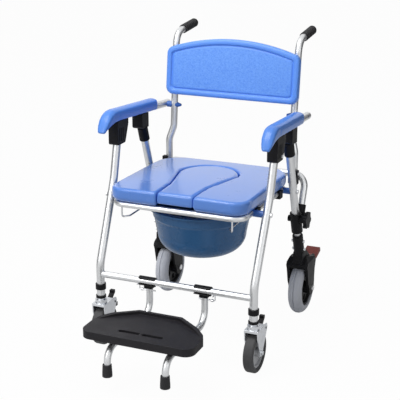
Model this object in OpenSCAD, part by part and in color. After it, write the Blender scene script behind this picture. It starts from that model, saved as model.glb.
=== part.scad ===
// Wheeled shower commode chair: tube frame, padded seat with a lift-out insert,
// flip-up armrests, sliding pail, swinging footrest, braked casters and rear wheels.
// Front is -Y, up is +Z, the floor is Z = 0. All sizes are in millimetres.

/* [Frame tubes] */
// half distance between the front leg axes
leg_half = 249; // [225:1:275]
// outside diameter of the leg tubes
leg_d = 24.4; // [22:0.2:28]
// wall of the leg tubes
leg_wall = 1.6; // [1.2:0.1:2.4]
// height of the lower bend of the front legs
low_bend_z = 268; // [255:1:290]
// height of the upper bend of the front legs
top_bend_z = 505; // [480:1:530]
// setback of the upper bend behind the front foot line
top_bend_b = 108; // [95:1:120]
// height of the front leg tops
leg_top_z = 634; // [628:1:640]
// setback of the front leg tops
leg_top_b = 144; // [139:1:149]
// outward splay of the front legs at their tops
leg_splay = 5; // [0:0.5:8]
// diameter of the front cross tube
cross_d = 20; // [18:0.5:22]
// height of the front cross tube
cross_z = 236; // [225:1:240]
// backward lean of the rear legs going down, in degrees
rear_lean = 19.4; // [17:0.1:21]
// height of the rear clamp middle
clamp_z = 343; // [336:1:350]
// setback of the rear clamp middle
clamp_b = 396; // [385:1:410]
// length of the rear legs above the clamp middle
rear_up = 279; // [272:1:284]
// diameter of the rear U tube
u_d = 22; // [20:0.5:24]
// height of the U tube's bar
u_bar_z = 478; // [472:1:486]

/* [Seat] */
// height of the seat frame's front tube
seat_z = 465; // [455:1:475]
// backward slope of the seat, in degrees
seat_tilt = 1.5; // [0:0.5:3]
// diameter of the seat frame tube
seat_d = 18; // [16:0.5:20]
// thickness of the seat pad
pad_t = 47; // [42:1:52]
// half width of the seat slot at the front
slot_half = 58; // [50:1:64]
// radius of the seat slot's round rear end
slot_r = 96; // [90:1:104]
// gap round the seat insert
insert_gap = 1.5; // [1:0.1:3]

/* [Back] */
// diameter of the back posts
post_d = 22; // [20:0.5:24]
// height of the back board at its middle
board_h = 188; // [178:1:192]
// rise of the back board's arched top
board_arch = 40; // [30:1:46]
// thickness of the back board
board_t = 26; // [20:1:28]
// reach of the grip ends behind the posts' feet
grip_reach = 177; // [170:1:185]

/* [Armrests] */
// diameter of the armrest tubes
arm_d = 24; // [22:0.5:25]
// height of the armrest pivots
pivot_z = 671; // [666:1:676]
// forward rise of the armrests, in degrees
arm_rise = 3.9; // [3:0.1:4.5]
// width of the armrest pads
arm_pad_w = 42; // [38:1:46]

/* [Wheels] */
// radius of the front caster wheels
caster_r = 62.5; // [58:0.5:65]
// width of the front caster tyres
caster_w = 32; // [26:1:34]
// trail of the casters
caster_trail = 14; // [10:1:20]
// radius of the rear wheels
wheel_r = 89; // [84:0.5:91]
// width of the rear tyres
wheel_w = 44; // [38:1:46]

/* [Footrest] */
// half distance between the footrest tubes
foot_half = 90; // [80:1:100]
// diameter of the footrest tubes
foot_d = 20; // [18:0.5:21]
// height of the footplate's top
plate_z = 178; // [172:1:186]
// thickness of the footplate's rim
plate_t = 23; // [18:1:25]
// reach of the footplate in front of the front foot line
plate_reach = 276; // [270:1:296]
// half width of the footplate
plate_half = 172; // [160:1:180]

/* [Pail] */
// radius of the pail's rim
pail_r = 169; // [164:0.5:170]
// depth of the pail
pail_h = 143; // [130:1:150]
// diameter of the pail rail wire
wire_d = 5; // [4:0.5:6]

/* [Fits] */
// radial clearance of turning fits
run_gap = 0.05; // [0.02:0.01:0.08]
// clearance of sliding and lifting fits
slide_gap = 0.3; // [0.2:0.05:0.5]

/* [Hidden] */
$fn = 64;

// widths that follow the front legs
leg_top_x = leg_half + leg_splay;
arm_half = leg_top_x + 1;
arm_rear_x = leg_half - 6;
rear_half = leg_half - 5;
u_half = leg_half - 2;
wheel_half = leg_half - 10;
seat_half = leg_half - 43;
pad_half = seat_half + 13;
post_x = leg_half - 31.5;
board_half = post_x + 6.5;
// depths that follow the rear legs
axle_b = clamp_b + 91;
seat_run = clamp_b - 11;
pad_len = clamp_b + 32;
u_foot_b = clamp_b + 31;
u_bar_b = u_foot_b + 47;
post_b = u_bar_b - 31.5;
pivot_b = post_b + 17.5;
pail_b = clamp_b - 189;
grip_end_b = post_b + 8.5 + grip_reach;
// the foot line's place puts the middle of the depth at the origin
tip_d = 29;
foot_front = plate_reach - 8;
front_y = (foot_front + tip_d / 2 - grip_end_b) / 2;
leg_r = leg_d / 2;
leg_in = leg_d - 2 * leg_wall;
inner_d = leg_in - 2 * slide_gap;
rail_z = 425;
plate_bottom = plate_z - plate_t;

// vector arithmetic of the tube paths
function unit(v) = v / norm(v);
function turn(a, b) = round(100 * acos(max(-1, min(1, unit(a) * unit(b))))) / 100;
function bent(P, R, i) = (i == 0 || i == len(P) - 1) ? 0
  : R[i] * tan(turn(P[i] - P[i - 1], P[i + 1] - P[i]) / 2);
function way(P, i) = unit(P[i + 1] - P[i]);
function axle(P, i) = unit(cross(way(P, i), way(P, i + 1)));

// a straight bar of a tube path
module rod(p, q, d) {
  v = q - p;
  translate(p)
    rotate([0, acos(v[2] / norm(v)), atan2(v[1], v[0])])
      cylinder(d = d, h = norm(v));
}

// a tube path through points P with bend radii R, each length set on the one before
// and reaching a little way into the bends, which are drawn a touch fuller
module path(P, R, d) {
  u = way(P, 0);
  n = axle(P, 0);
  m = cross(n, u);
  multmatrix([[m[0], n[0], u[0], P[0][0]], [m[1], n[1], u[1], P[0][1]], [m[2], n[2], u[2], P[0][2]]])
    path_from(P, R, d, 0);
}
module path_from(P, R, d, i) {
  long = norm(P[i + 1] - P[i]) - bent(P, R, i) - bent(P, R, i + 1);
  low = i > 0 ? 0.5 : 0;
  high = i < len(P) - 2 ? 0.5 : 0;
  translate([0, 0, -low]) cylinder(d = d, h = long + low + high);
  if (i < len(P) - 2) {
    a = turn(way(P, i), way(P, i + 1));
    r = R[i + 1];
    translate([r, 0, long]) {
      multmatrix([[-1, 0, 0, 0], [0, 0, 1, 0], [0, 1, 0, 0]])
        rotate_extrude(angle = a) translate([r, 0]) circle(d = d + 0.2);
      rotate([0, a, 0]) translate([-r, 0, 0])
        rotate([0, 0, i < len(P) - 3 ? roll(P, i) : 0]) path_from(P, R, d, i + 1);
    }
  }
}
function roll(P, i) = roll_of(axle(P, i), axle(P, i + 1), way(P, i + 1));
function roll_of(n, k, v) = round(100 * atan2(cross(k, v) * n, cross(k, v) * cross(n, v))) / 100;

// a bar along X
module bar_x(p, len, d) {
  translate(p) rotate([0, 90, 0]) cylinder(d = d, h = len, center = true);
}

// both sides of the chair, and one side
module both() {
  children();
  mirror([1, 0, 0]) children();
}
module side(s) {
  mirror([s < 0 ? 1 : 0, 0, 0]) children();
}

// the foot line, the rear leg axis and the seat plane
module foot() {
  translate([0, front_y, 0]) children();
}
module rear_axis() {
  translate([rear_half, front_y + clamp_b, clamp_z]) rotate([rear_lean, 0, 0]) children();
}
module seat_place() {
  translate([0, front_y + 10, seat_z]) rotate([-seat_tilt, 0, 0]) children();
}
function seat_at(b) = seat_z - (b - 10) * tan(seat_tilt);
function leg_b(z) = top_bend_b * (z - low_bend_z) / (top_bend_z - low_bend_z);
function leg_x(z) = leg_half + leg_splay * (z - low_bend_z) / (leg_top_z - low_bend_z);
function rear_b(z) = clamp_b - (z - clamp_z) * tan(rear_lean);

// bolted points of the seat frame on the legs
d_b = leg_b(seat_at(86));
d_z = seat_at(d_b);
e_b = rear_b(seat_at(346));
e_z = seat_at(e_b);

// front legs
leg_P = [[leg_half, 0, 190], [leg_half, 0, low_bend_z], [leg_x(top_bend_z), top_bend_b, top_bend_z],
  [leg_top_x, leg_top_b, leg_top_z]];
leg_R = [0, 80, 160, 0];
module front_legs() {
  color("silver") foot() both() difference() {
    path(leg_P, leg_R, leg_d);
    path(leg_P, leg_R, leg_in);
    bar_x([leg_half, d_b, d_z], 60, 8);
  }
}

// front cross tube, cut to sit on the legs
module front_cross_tube() {
  color("silver") foot() difference() {
    bar_x([0, 0, cross_z], 2 * leg_half, cross_d);
    bar_x([0, 0, cross_z], 2 * leg_half + 1, cross_d - 3);
    both() translate([leg_half, 0, cross_z - 20]) cylinder(d = leg_d, h = 40);
  }
}

// rear legs
module rear_legs() {
  color("silver") both() difference() {
    rear_axis() translate([0, 0, -36]) cylinder(d = leg_d, h = 36 + rear_up);
    rear_axis() translate([0, 0, -37]) cylinder(d = leg_in, h = 38 + rear_up);
    foot() bar_x([rear_half, e_b, e_z], 60, 8);
  }
}

// rear U tube: a bar behind the seat with legs down into the clamps, open at both ends
u_foot_z = u_bar_z - 112;
u_P = [[u_half, u_foot_b, u_foot_z], [u_half, u_bar_b, u_bar_z], [-u_half, u_bar_b, u_bar_z],
  [-u_half, u_foot_b, u_foot_z]];
u_R = [0, 42, 42, 0];
u_end = unit(u_P[0] - u_P[1]);
u_bore_P = [u_P[0] + u_end, u_P[1], u_P[2], u_P[3] + u_end];
module rear_u_tube() {
  color("silver") foot() difference() {
    path(u_P, u_R, u_d);
    path(u_bore_P, u_R, u_d - 3);
  }
}

// rear clamps: a sleeve on the leg, a boss for the knob and a sleeve for the U tube
clamp_d = 36;
boss_z = 13;
stem_d = 10;
u_dir = unit([0, u_bar_b - u_foot_b, u_bar_z - u_foot_z]);
u_lean = -atan2(u_dir[1], u_dir[2]);
module rear_clamps() {
  color("dimgray") both() difference() {
    union() {
      rear_axis() {
        translate([0, 0, -36]) cylinder(d = clamp_d, h = 72);
        bar_x([11, 0, boss_z], 36, 24);
        bar_x([-16, 0, boss_z], 18, 20);
        translate([-7, 0, -18]) cube([14, 40, 50]);
      }
      translate([u_half, front_y + u_foot_b, u_foot_z]) rotate([u_lean, 0, 0])
        translate([0, 0, -14]) cylinder(d = u_d + 7, h = 40);
    }
    rear_axis() {
      translate([0, 0, -40]) cylinder(d = leg_d + 0.1, h = 80);
      bar_x([25, 0, boss_z], 30, stem_d + 2 * run_gap);
    }
    translate([u_half, front_y + u_foot_b, u_foot_z]) rotate([u_lean, 0, 0])
      cylinder(d = u_d + 0.1, h = 60);
  }
}

// star knob on the clamp screw
module clamp_knob(s) {
  color("black") side(s) rear_axis() {
    bar_x([22.5, 0, boss_z], 15, stem_d);
    bar_x([35.5, 0, boss_z], 12, 46);
    bar_x([30.5, 0, boss_z], 2, 20);
    for (a = [0 : 60 : 300])
      translate([35.5, 0, boss_z]) rotate([a, 0, 0])
        bar_x([0, 0, 21], 12, 15);
  }
}

// seat frame: a closed loop of tube
seat_c = 36;
module seat_loop(d) {
  for (y = [0, seat_run])
    bar_x([0, y, 0], 2 * (seat_half - seat_c), d);
  for (x = [-seat_half, seat_half])
    rod([x, seat_c, 0], [x, seat_run - seat_c, 0], d);
  for (x = [-1, 1], y = [0, 1])
    translate([x * (seat_half - seat_c), y ? seat_run - seat_c : seat_c, 0])
      rotate([0, 0, y ? (x > 0 ? 0 : 90) : (x > 0 ? 270 : 180)])
        rotate_extrude(angle = 90) translate([seat_c, 0]) circle(d = d);
}
module seat_frame() {
  color("silver") difference() {
    seat_place() seat_loop(seat_d);
    seat_place() seat_loop(seat_d - 3);
    seat_place() translate([0, seat_run, -seat_d]) cylinder(d = 4, h = seat_d);
    foot() both() {
      bar_x([seat_half, d_b, d_z], 60, 8);
      bar_x([seat_half, e_b, e_z], 60, 8);
    }
  }
}

// spacers between the seat frame and the legs
module frame_spacers() {
  x = seat_half + 4;
  color("royalblue") both() difference() {
    foot() {
      bar_x([(x + leg_x(d_z)) / 2, d_b, d_z], leg_x(d_z) - x, 20);
      bar_x([(x + rear_half) / 2, e_b, e_z], rear_half - x, 20);
    }
    seat_place() rod([seat_half, 0, 0], [seat_half, seat_run, 0], seat_d + 0.2);
    foot() rod(leg_P[1], leg_P[2], leg_d + 0.2);
    rear_axis() translate([0, 0, -36]) cylinder(d = leg_d + 0.2, h = 36 + rear_up);
    foot() bar_x([leg_half, d_b, d_z], 200, 8);
    foot() bar_x([leg_half, e_b, e_z], 200, 8);
  }
}

// bolts through the seat frame, the spacers and the legs
module frame_bolt(x, b, z) {
  inner = seat_half - seat_d / 2;
  outer = x + leg_r;
  bar_x([(inner + outer) / 2 - 1, b, z], outer - inner + 2, 7.6);
  bar_x([outer + 2, b, z], 4, 13);
  bar_x([inner - 2.5, b, z], 5, 13);
}
module frame_bolts() {
  color("silver") foot() both() difference() {
    union() {
      frame_bolt(leg_x(d_z), d_b, d_z);
      frame_bolt(rear_half, e_b, e_z);
    }
    difference() {
      rod(leg_P[1], leg_P[2], leg_d + 0.2);
      bar_x([leg_half, d_b, d_z], 60, 8);
    }
    translate([0, -front_y, 0]) difference() {
      rear_axis() cylinder(d = leg_d + 0.2, h = rear_up);
      foot() bar_x([rear_half, e_b, e_z], 60, 8);
    }
    translate([0, -front_y, 0]) difference() {
      seat_place() rod([seat_half, 0, 0], [seat_half, seat_run, 0], seat_d + 0.2);
      foot() bar_x([seat_half, d_b, d_z], 60, 8);
      foot() bar_x([seat_half, e_b, e_z], 60, 8);
    }
  }
}

// back posts: lower part beside the seat, a jog inward, then up to the grips
jog_z = 600;
post_jog = [post_x - 12.5, post_b + 9.5, jog_z];
post_top = [post_x - 9.5, post_b + 43.5, 903];
grip_tip = [post_x - 11.5, grip_end_b - 3, 916.5];
post_P = [[post_x, post_b, u_bar_z - 37], [post_x, post_b, jog_z - 42], post_jog, post_top, grip_tip];
post_R = [0, 50, 50, 45, 0];
post_lean = atan2(post_top[1] - post_jog[1], post_top[2] - jog_z);
module back_posts() {
  color("silver") foot() both() difference() {
    path(post_P, post_R, post_d);
    path(post_P, post_R, post_d - 3);
    bar_x([post_x - 11.5, pivot_b, pivot_z], 60, 10);
  }
}

// back board with an arched top and a border that stands proud of the panel
module board2d(i) {
  w = board_half - i;
  c = 24 - i;
  arch_r = (board_half * board_half + board_arch * board_arch) / (2 * board_arch) - i;
  arch_y = board_h - i - arch_r;
  yc = arch_y + sqrt((arch_r - c) * (arch_r - c) - (w - c) * (w - c));
  k = arch_r / (arch_r - c);
  intersection() {
    translate([0, arch_y]) circle(r = arch_r, $fn = 256);
    union() {
      translate([-w + c, i]) square([2 * (w - c), board_h]);
      translate([-w, i + c]) square([2 * w, yc - i - c]);
      polygon([[w - c, yc], [w, yc], [(w - c) * k, arch_y + (yc - arch_y) * k], [w - c, board_h]]);
      polygon([[c - w, yc], [-w, yc], [(c - w) * k, arch_y + (yc - arch_y) * k], [c - w, board_h]]);
      for (x = [-1, 1]) {
        translate([x * (w - c), i + c]) circle(r = c);
        translate([x * (w - c), yc]) circle(r = c);
      }
    }
  }
}
module backrest_panel() {
  board_z = 708;
  color("royalblue") foot()
    translate([0, post_jog[1] + (board_z - jog_z) * tan(post_lean), board_z]) rotate([-post_lean, 0, 0])
      translate([0, -post_d / 2, 0]) rotate([90, 0, 0]) difference() {
        union() {
          linear_extrude(4) board2d(4);
          translate([0, 0, 4]) linear_extrude(board_t - 8) board2d(0);
          translate([0, 0, board_t - 4]) linear_extrude(4) board2d(3);
        }
        translate([0, 0, board_t - 3]) linear_extrude(6) board2d(19);
        for (x = [-1, 1])
          translate([x * (post_x - 10.5), board_h / 2, -post_d / 2]) rotate([90, 0, 0])
            cylinder(d = post_d, h = 3 * board_h, center = true);
      }
}

// hand grips with finger ridges
module hand_grips() {
  v = grip_tip - post_top;
  g = 90;
  color("black") foot() both()
    translate(grip_tip - unit(v) * g)
      rotate([0, acos(v[2] / norm(v)), atan2(v[1], v[0])]) difference() {
        union() {
          cylinder(d = 27, h = g + 2.5);
          for (z = [0 : 12 : 84]) translate([0, 0, z]) cylinder(d = 29, h = 5.5);
        }
        translate([0, 0, -1]) cylinder(d = post_d + 0.1, h = g + 1);
      }
}

// collars at the leg feet and plugs in the leg tops
module leg_collars() {
  color("black") {
    foot() both() difference() {
      union() {
        translate([leg_half, 0, 187]) cylinder(d = 32, h = 17);
        translate([leg_half - 6, 0, 188]) cube([12, 21, 14]);
      }
      translate([leg_half, 0, 190]) cylinder(d = leg_d, h = 30);
      translate([leg_half, 0, 180]) cylinder(d = inner_d + 2 * slide_gap, h = 30);
    }
    foot() both() rod(leg_P[3] - way(leg_P, 2) * 12, leg_P[3], leg_in - 0.2);
    both() rear_axis() translate([0, 0, rear_up - 12]) cylinder(d = leg_in - 0.2, h = 12);
  }
}

// brackets that hold the posts to the U tube, and the seat clips
module frame_brackets() {
  color("black") {
    foot() both() difference() {
      union() {
        translate([post_x - 16, post_b - 13, u_bar_z - 20]) cube([20, u_bar_b - post_b + 8, 23]);
        translate([post_x + 1, post_b - 20, u_bar_z - 20]) cube([16, 16, 44]);
      }
      translate([post_x, post_b, u_bar_z - 30]) cylinder(d = post_d + 0.1, h = 60);
      path(u_P, u_R, u_d + 0.2);
    }
    seat_place() both() for (y = [90, 290]) difference() {
      translate([seat_half - 14, y, -14]) cube([28, 26, 14 + seat_d / 2 + 1]);
      rod([seat_half, seat_c, 0], [seat_half, seat_run - seat_c, 0], seat_d + 0.1);
    }
  }
}

// wire rails that carry the pail, welded under the seat frame
module pail_rails() {
  y_run = seat_run * cos(seat_tilt);
  x0 = seat_half - 30;
  x1 = pail_r - 9;
  P = [[x0, 10, seat_at(10) - 4], [x0, 10, rail_z], [x1, 30, rail_z], [x1, y_run - 10, rail_z],
    [x0, 10 + y_run, rail_z], [x0, 10 + y_run, seat_at(10 + y_run) - 4]];
  color("silver") difference() {
    foot() both() path(P, [0, 8, 10, 10, 8, 0], wire_d);
    seat_place() seat_loop(seat_d);
  }
}

// outline of the seat slot, drawn in by g
module slot2d(g) {
  y = pad_len - 183;
  translate([0, y]) circle(r = slot_r - g, $fn = 128);
  polygon([[g - slot_half, -30], [slot_half - g, -30], [slot_half + 5 - g, 90],
    [slot_r - 3 - g, y - 23], [g - slot_r + 3, y - 23], [g - slot_half - 5, 90]]);
}
module pad2d(i) {
  w = pad_half - i;
  y0 = -15 + i;
  y1 = pad_len - 15 - i;
  f = 48 - i;
  r = 80 - i;
  translate([f - w, y0]) square([2 * (w - f), 100]);
  translate([-w, y0 + f]) square([2 * w, y1 - r - y0 - f]);
  translate([r - w, y0 + f]) square([2 * (w - r), y1 - y0 - f]);
  for (x = [-1, 1]) {
    translate([x * (w - f), y0 + f]) circle(r = f);
    translate([x * (w - r), y1 - r]) circle(r = r);
  }
}
pad_z = seat_d / 2 + 1;
ledge_t = 13;
ledge_y = 24;
crown_r = 7000;

// seat pad with a crowned top, drawn-in edges and a ledge for the insert
module seat_pad() {
  color("cornflowerblue") seat_place() difference() {
    intersection() {
      translate([0, 0, pad_z]) {
        linear_extrude(7) pad2d(6);
        translate([0, 0, 7]) linear_extrude(pad_t - 14) pad2d(0);
        translate([0, 0, pad_t - 7]) linear_extrude(7) pad2d(5);
      }
      translate([0, 200, pad_z + pad_t - crown_r]) sphere(r = crown_r, $fn = 256);
    }
    translate([0, 0, pad_z + ledge_t]) linear_extrude(pad_t) slot2d(0);
    translate([0, 0, pad_z - 1]) linear_extrude(pad_t) {
      slot2d(14);
      intersection() {
        slot2d(0);
        translate([-200, -60]) square([400, 60 + ledge_y]);
      }
    }
  }
}

// seat insert that fills the slot
module seat_insert() {
  color("cornflowerblue") seat_place() intersection() {
    union() {
      translate([0, 0, pad_z + ledge_t + slide_gap]) linear_extrude(pad_t - ledge_t - 6)
        intersection() {
          slot2d(insert_gap);
          translate([-200, -12]) square([400, 400]);
        }
      translate([0, 0, pad_z + ledge_t]) linear_extrude(pad_t - ledge_t) intersection() {
        slot2d(insert_gap + 6);
        translate([-200, -6]) square([400, 400]);
      }
      translate([0, 0, pad_z + 8]) linear_extrude(pad_t - 16) intersection() {
        slot2d(insert_gap);
        translate([-200, -12]) square([400, 10 + ledge_y]);
      }
    }
    translate([0, 200, pad_z + pad_t - crown_r]) sphere(r = crown_r, $fn = 256);
  }
}

// armrest pivots: a spacer, a pin and a cap on each back post
pin_d = 9;
module arm_pivots() {
  x_post = post_x - 11.5;
  x_arm = arm_rear_x - arm_d / 2;
  color("royalblue") foot() both() difference() {
    union() {
      bar_x([(x_post + x_arm) / 2, pivot_b, pivot_z], x_arm - x_post - 2, 20);
      translate([x_post - 24, pivot_b, pivot_z]) rotate([0, 90, 0]) cylinder(d1 = 8, d2 = 20, h = 18);
      bar_x([(x_post + arm_rear_x) / 2, pivot_b, pivot_z], arm_rear_x - x_post + 20, pin_d);
    }
    difference() {
      path(post_P, post_R, post_d);
      bar_x([x_post, pivot_b, pivot_z], 60, 10);
    }
  }
}

// armrest tubes, through the pivot and a little wider apart at the front
arm_rear_b = pivot_b + 26;
nose_b = leg_top_b - 12;
arm_toe = atan2(arm_half - arm_rear_x, pivot_b - leg_top_b);
function arm_z(b) = pivot_z + (pivot_b - b) * tan(arm_rise) / cos(arm_toe);
function arm_x(b) = arm_rear_x + (pivot_b - b) * tan(arm_toe);
arm_P = [for (b = [arm_rear_b, nose_b]) [arm_x(b), b, arm_z(b)]];
arm_u = unit(arm_P[1] - arm_P[0]);
module arm_tube(s) {
  color("gainsboro") side(s) foot() difference() {
    rod(arm_P[0], arm_P[1], arm_d);
    rod(arm_P[0] + arm_u * 4, arm_P[1] + arm_u, arm_d - 3);
    bar_x([arm_rear_x, pivot_b, pivot_z], 60, pin_d + 2 * run_gap);
  }
}

// armrest pads: a crowned section along the tube and a nose that curves down and narrows
module arm_section() {
  intersection() {
    translate([0, -3]) circle(r = 32, $fn = 96);
    translate([60 - arm_pad_w / 2, 8]) circle(r = 60, $fn = 128);
    translate([arm_pad_w / 2 - 60, 8]) circle(r = 60, $fn = 128);
    translate([-40, -7]) square([80, 60]);
  }
}
// side outline of the nose, from the tube's end, its top drawn in by i
function curve(P, t) = pow(1 - t, 3) * P[0] + 3 * t * pow(1 - t, 2) * P[1]
  + 3 * t * t * (1 - t) * P[2] + pow(t, 3) * P[3];
module nose2d(i) {
  e = 5.5;
  tip = [-79.5 + i / 2, -32];
  top = [[2, 28.4 - i], [-40 + i / 2, 30 - i], [-60 + i / 2, 26 - i], tip - [e, 0]];
  low = [tip - [0, e], [-64, -22], [-36, -9], [2, -7]];
  polygon(concat(
    [for (t = [0 : 0.1 : 0.9]) curve(top, t)],
    [for (a = [180 : 15 : 270]) tip + e * [cos(a), sin(a)]],
    [for (t = [0.1 : 0.1 : 1]) curve(low, t)]));
}
module arm_pad(s) {
  run = norm(arm_P[1] - arm_P[0]) - 112;
  w = arm_pad_w / 2;
  color("royalblue") side(s) foot() difference() {
    translate(arm_P[1]) rotate([-arm_rise, 0, arm_toe]) {
      rotate([-90, 0, 0]) rotate([0, 0, 180]) linear_extrude(run) arm_section();
      intersection() {
        for (k = [[9.5, 0], [15, 2.6], [w - 1.5, 6.4]])
          translate([-k[0], 0, 0]) rotate([90, 0, 90]) linear_extrude(2 * k[0]) nose2d(k[1]);
        rotate([90, 0, 0]) translate([0, 0, -4]) linear_extrude(100)
          polygon([[-10, -40], [10, -40], [16, -22], [w, 6], [w, 40], [-w, 40], [-w, 6], [-16, -22]]);
      }
    }
    rod(arm_P[0], arm_P[1], arm_d + 0.1);
  }
}

// front latch housings: open below, lifted off the leg tops with the armrests
housing_z = leg_top_z - 23;
housing_w = 32;
button_b = leg_top_b + 5;
button_z = housing_z + 14;
function pad_low(b) = arm_z(b) - 7.4;
module latch_housing(s) {
  z0 = housing_z;
  b0 = leg_top_b;
  color("black") side(s) foot() difference() {
    union() {
      translate([arm_half - housing_w / 2, 0, 0]) rotate([90, 0, 90]) linear_extrude(housing_w)
        polygon([[b0 - 27, z0 + 5], [b0 - 23, z0], [b0 + 21, z0], [b0 + 25, z0 + 6],
          [b0 + 45, pad_low(b0 + 45) - 16], [b0 + 45, pad_low(b0 + 45)], [nose_b + 3, pad_low(nose_b + 3)],
          [b0 - 27, pad_low(b0 - 27) - 4]]);
      for (y = [b0 - 15, b0 - 3, b0 + 9])
        translate([arm_half - housing_w / 2 - 1, y, z0 + 10]) cube([housing_w + 2, 3, 40]);
    }
    translate([leg_top_x - leg_r - 2 * slide_gap, b0 - 23, z0 - 1])
      cube([leg_d + 4 * slide_gap, 44, leg_top_z + 7 - z0]);
    rod(arm_P[0], arm_P[1] + arm_u * 20, arm_d + 0.1);
    translate([arm_half + 6, button_b, button_z]) rotate([0, 90, 0])
      cylinder(d = 11 + 2 * slide_gap, h = 30);
  }
}

// latch buttons on the outer face of the housings
module latch_button(s) {
  x0 = leg_top_x + leg_r + 3.4;
  color("silver") side(s) foot() {
    bar_x([x0 + 3, button_b, button_z], 6, 11);
    bar_x([x0 + 6.5, button_b, button_z], 2, 9);
  }
}

// rear armrest sockets: a block under the tube and a sleeve on the rear leg top
module arm_socket(s) {
  z0 = leg_top_z - 6;
  b0 = rear_b(z0 + 12);
  color("black") side(s) difference() {
    union() {
      foot() translate([rear_half - 14, 0, 0]) rotate([90, 0, 90])
        linear_extrude(arm_x(b0) + 30 - rear_half)
        polygon([[b0 - 24, z0 + 6], [b0 - 18, z0], [b0 + 22, z0], [b0 + 22, pad_low(b0 + 22)],
          [b0 - 24, pad_low(b0 - 24)]]);
      rear_axis() translate([0, 0, rear_up - 22]) cylinder(d = 33, h = 46);
    }
    rear_axis() translate([0, 0, rear_up - 60])
      cylinder(d = leg_d + 5, h = 60 + 3);
    foot() rod(arm_P[0], arm_P[1], arm_d + 0.1);
  }
}

// sliding front sleeves with the caster stem bore
module front_sleeve(s) {
  color("silver") side(s) foot() translate([leg_half, 0, 0]) difference() {
    union() {
      translate([0, 0, 160]) cylinder(d = 25.6, h = 26.5);
      translate([0, 0, 160]) cylinder(d = inner_d, h = 86);
    }
    translate([0, 0, 186]) cylinder(d = inner_d - 3, h = 90);
    translate([0, 0, 150]) cylinder(d = 12 + 2 * run_gap, h = 30);
  }
}
module caster_ring(s) {
  color("black") side(s) foot() translate([leg_half, 0, 0]) difference() {
    translate([0, 0, 159]) cylinder(d = 31, h = 8);
    translate([0, 0, 160]) cylinder(d = 25.6, h = 30);
    translate([0, 0, 150]) cylinder(d = 16, h = 30);
  }
}

// caster forks with stem, crown, two side plates and the axle
fork_in = caster_w / 2 + 2.5;
fork_t = 3;
module caster_fork(s) {
  a = [0, caster_trail, caster_r];
  color("lightgray") side(s) foot() translate([leg_half, 0, 0]) difference() {
    union() {
      translate([0, 0, 140]) cylinder(d = 12, h = 39);
      translate([0, 0, 140]) cylinder(d = 36, h = 14);
      translate([0, 0, 154]) cylinder(d = 26, h = 4.5);
      translate([-fork_in - fork_t, -20, 134]) cube([2 * (fork_in + fork_t), 62, 8]);
      for (x = [-1, 1])
        translate([x > 0 ? fork_in : -fork_in - fork_t, 0, 0]) rotate([90, 0, 90])
          linear_extrude(fork_t) union() {
            polygon([[-20, 142], [-18, 112], [caster_trail - 11, caster_r], [caster_trail + 11,
              caster_r], [52, 108], [62, 128], [58, 140], [42, 142]]);
            translate([caster_trail, caster_r]) circle(r = 11);
          }
      bar_x(a, 2 * (fork_in + fork_t) + 8, 8);
      for (x = [-1, 1])
        bar_x(a + [x * (fork_in + fork_t + 2.5), 0, 0], 5, 13);
    }
    bar_x([0, 50, 128], 90, 6 + 2 * run_gap);
  }
}

// caster brake pedals with a press tab and a release tab
module caster_pedal(s) {
  w = 2 * fork_in - 1;
  color("black") side(s) foot() translate([leg_half, 0, 0]) {
    bar_x([0, 50, 128], w, 11);
    bar_x([0, 50, 128], 2 * (fork_in + fork_t) + 2, 6);
    translate([-7, 0, 0]) rotate([90, 0, 90]) linear_extrude(14)
      polygon([[47.5, 131.2], [67, 146.4], [67, 155], [79, 155], [79, 145.6], [56.5, 127.9],
        [84, 109.4], [94, 108], [94, 96], [84, 96], [84, 100.8], [48, 125.1]]);
  }
}

// caster wheels: hub and tyre
hub_r = caster_r - 15;
module caster_hub(s) {
  color("lightgray") side(s) foot() translate([leg_half, caster_trail, caster_r])
    rotate([0, 90, 0]) difference() {
      union() {
        cylinder(r = hub_r, h = caster_w - 10, center = true);
        cylinder(r = 15, h = 2 * fork_in - 1, center = true);
      }
      for (z = [-1, 1]) translate([0, 0, z * (caster_w / 2 - 5)]) difference() {
        cylinder(r = hub_r - 6, h = 12, center = true);
        cylinder(r = 15, h = 14, center = true);
      }
      cylinder(d = 8 + 2 * run_gap, h = 60, center = true);
    }
}
module caster_tyre(s) {
  w = caster_w / 2;
  color("dimgray") side(s) foot() translate([leg_half, caster_trail, caster_r])
    rotate([0, 90, 0]) rotate_extrude($fn = 128) {
      translate([hub_r + 0.1, -w + 2]) square([caster_r - hub_r - 7.1, 2 * w - 4]);
      translate([caster_r - 8, 7 - w]) square([8, 2 * w - 14]);
      for (y = [-1, 1]) translate([caster_r - 7, y * (w - 7)]) circle(r = 7);
    }
}

// inner tubes of the rear legs
module rear_inner_tube(s) {
  color("silver") side(s) rear_axis() difference() {
    translate([0, 0, -128]) cylinder(d = inner_d, h = 228);
    translate([0, 0, -129]) cylinder(d = inner_d - 3, h = 231);
    bar_x([0, 0, -76], 60, 6.4);
    bar_x([0, 0, -108], 60, 6.4);
  }
}

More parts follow.
